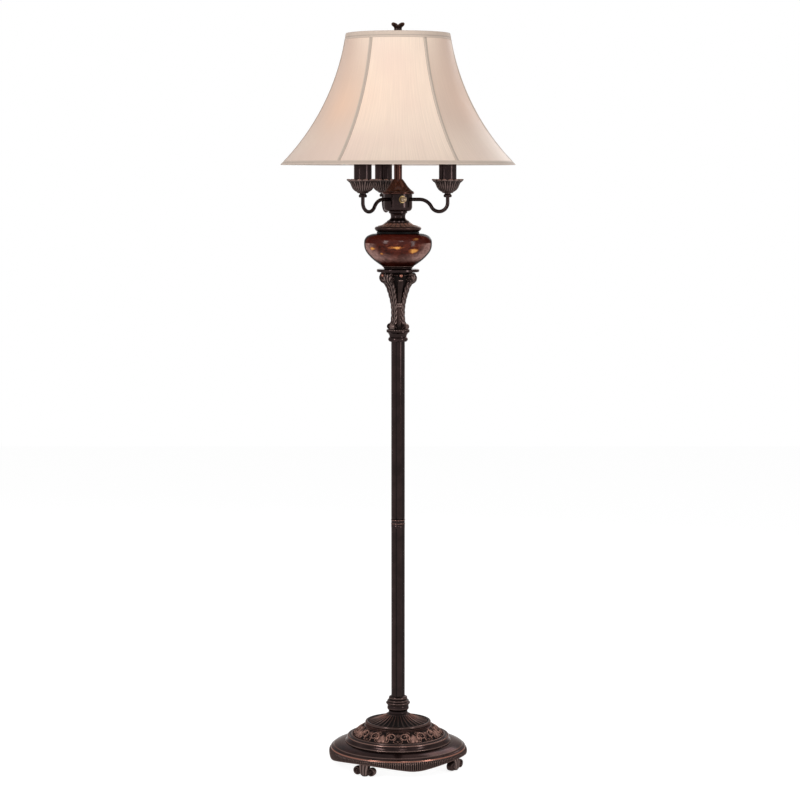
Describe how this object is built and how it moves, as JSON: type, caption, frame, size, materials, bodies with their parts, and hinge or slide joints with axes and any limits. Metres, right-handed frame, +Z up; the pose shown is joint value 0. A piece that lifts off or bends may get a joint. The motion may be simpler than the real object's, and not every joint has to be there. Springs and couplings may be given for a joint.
{
  "type": "candlestick floor lamp",
  "caption": "Floor lamp with candle lights on curled arms round a centre light under a panelled bell shade, on a slim pole with a glass font and a stepped, footed base.",
  "frame": {"origin": "on the floor, on the axis of the pole, at the centre of the base", "axes": "+Z up along the pole; -Y toward the front, where the switch looks; +X to the right"},
  "size_m": [0.51, 0.51, 1.6232],
  "materials": {
    "felt": "felt",
    "bronze": "satin",
    "copper_bronze": "satin",
    "steel": "satin",
    "iron": "matt",
    "brass": "satin",
    "black_rubber": "matt",
    "tortoise_glass": "gloss",
    "socket_body": "gloss",
    "switch_plastic": "matt",
    "bulb_glass": "frosted",
    "silk": "silk",
    "braid": "braid"
  },
  "bodies": {
    "lamp": {"foot_pads": "felt", "scroll_feet": "bronze", "foot_screws": "steel", "base_plate": "bronze", "cord_outlet": "black_rubber", "base_weight": "iron", "bottom_cover": "steel", "base_nuts": "brass", "base_pipe": "steel", "ogee_ring": "bronze", "leaf_dome": "copper_bronze", "fluted_disc": "bronze", "foot_collar": "bronze", "pole_inserts": "brass", "lower_pole": "bronze", "pole_joint": "bronze", "upper_pole": "bronze", "top_collar": "bronze", "capital": "bronze", "capital_disc": "bronze", "stem_pipe": "steel", "font_seat": "bronze", "font_gasket": "black_rubber", "font_glass": "tortoise_glass", "font_spacer": "brass", "font_top_ring": "black_rubber", "font_cap": "bronze", "font_neck": "bronze", "cluster_body": "bronze", "cluster_nuts": "brass", "arm_1": "bronze", "arm_2": "bronze", "arm_3": "bronze", "cup_collars": "bronze", "candle_cup_1": "bronze", "candle_cup_2": "bronze", "candle_cup_3": "bronze", "candle_sockets": "socket_body", "candle_sleeve_1": "bronze", "candle_sleeve_2": "bronze", "candle_sleeve_3": "bronze", "candle_bulbs": "bulb_glass", "switch_body": "switch_plastic", "switch_nut": "brass", "bell_cap": "copper_bronze", "riser_tube": "copper_bronze", "harp_saddle": "brass", "socket_cap": "brass", "socket_shell": "brass", "socket_insulator": "socket_body", "centre_bulb": "bulb_glass", "harp": "brass", "wiring": "black_rubber"},
    "switch": {"switch_knob": "brass"},
    "shade": {"shade_frame": "steel", "shade_fabric": "silk", "shade_trim": "braid"},
    "finial": {"finial": "bronze"},
    "ferrule_left": {"ferrule_left": "brass"},
    "ferrule_right": {"ferrule_right": "brass"}
  },
  "joints": [
    {"name": "switch_turn", "type": "hinge", "parent": "lamp", "child": "switch", "pos_m": [0.01067, -0.0349, 1.244], "axis": [0.2924, -0.9563, 0], "continuous": true},
    {"name": "shade_turn", "type": "hinge", "parent": "lamp", "child": "shade", "pos_m": [0, 0, 1.5872], "axis": [0, 0, 1], "continuous": true},
    {"name": "finial_turn", "type": "hinge", "parent": "lamp", "child": "finial", "pos_m": [0, 0, 1.5884], "axis": [0, 0, 1], "continuous": true},
    {"name": "ferrule_left_slide", "type": "slide", "parent": "lamp", "child": "ferrule_left", "axis": [0, 0, 1], "range_m": [0, 0.014]},
    {"name": "ferrule_right_slide", "type": "slide", "parent": "lamp", "child": "ferrule_right", "axis": [0, 0, 1], "range_m": [0, 0.014]}
  ]
}
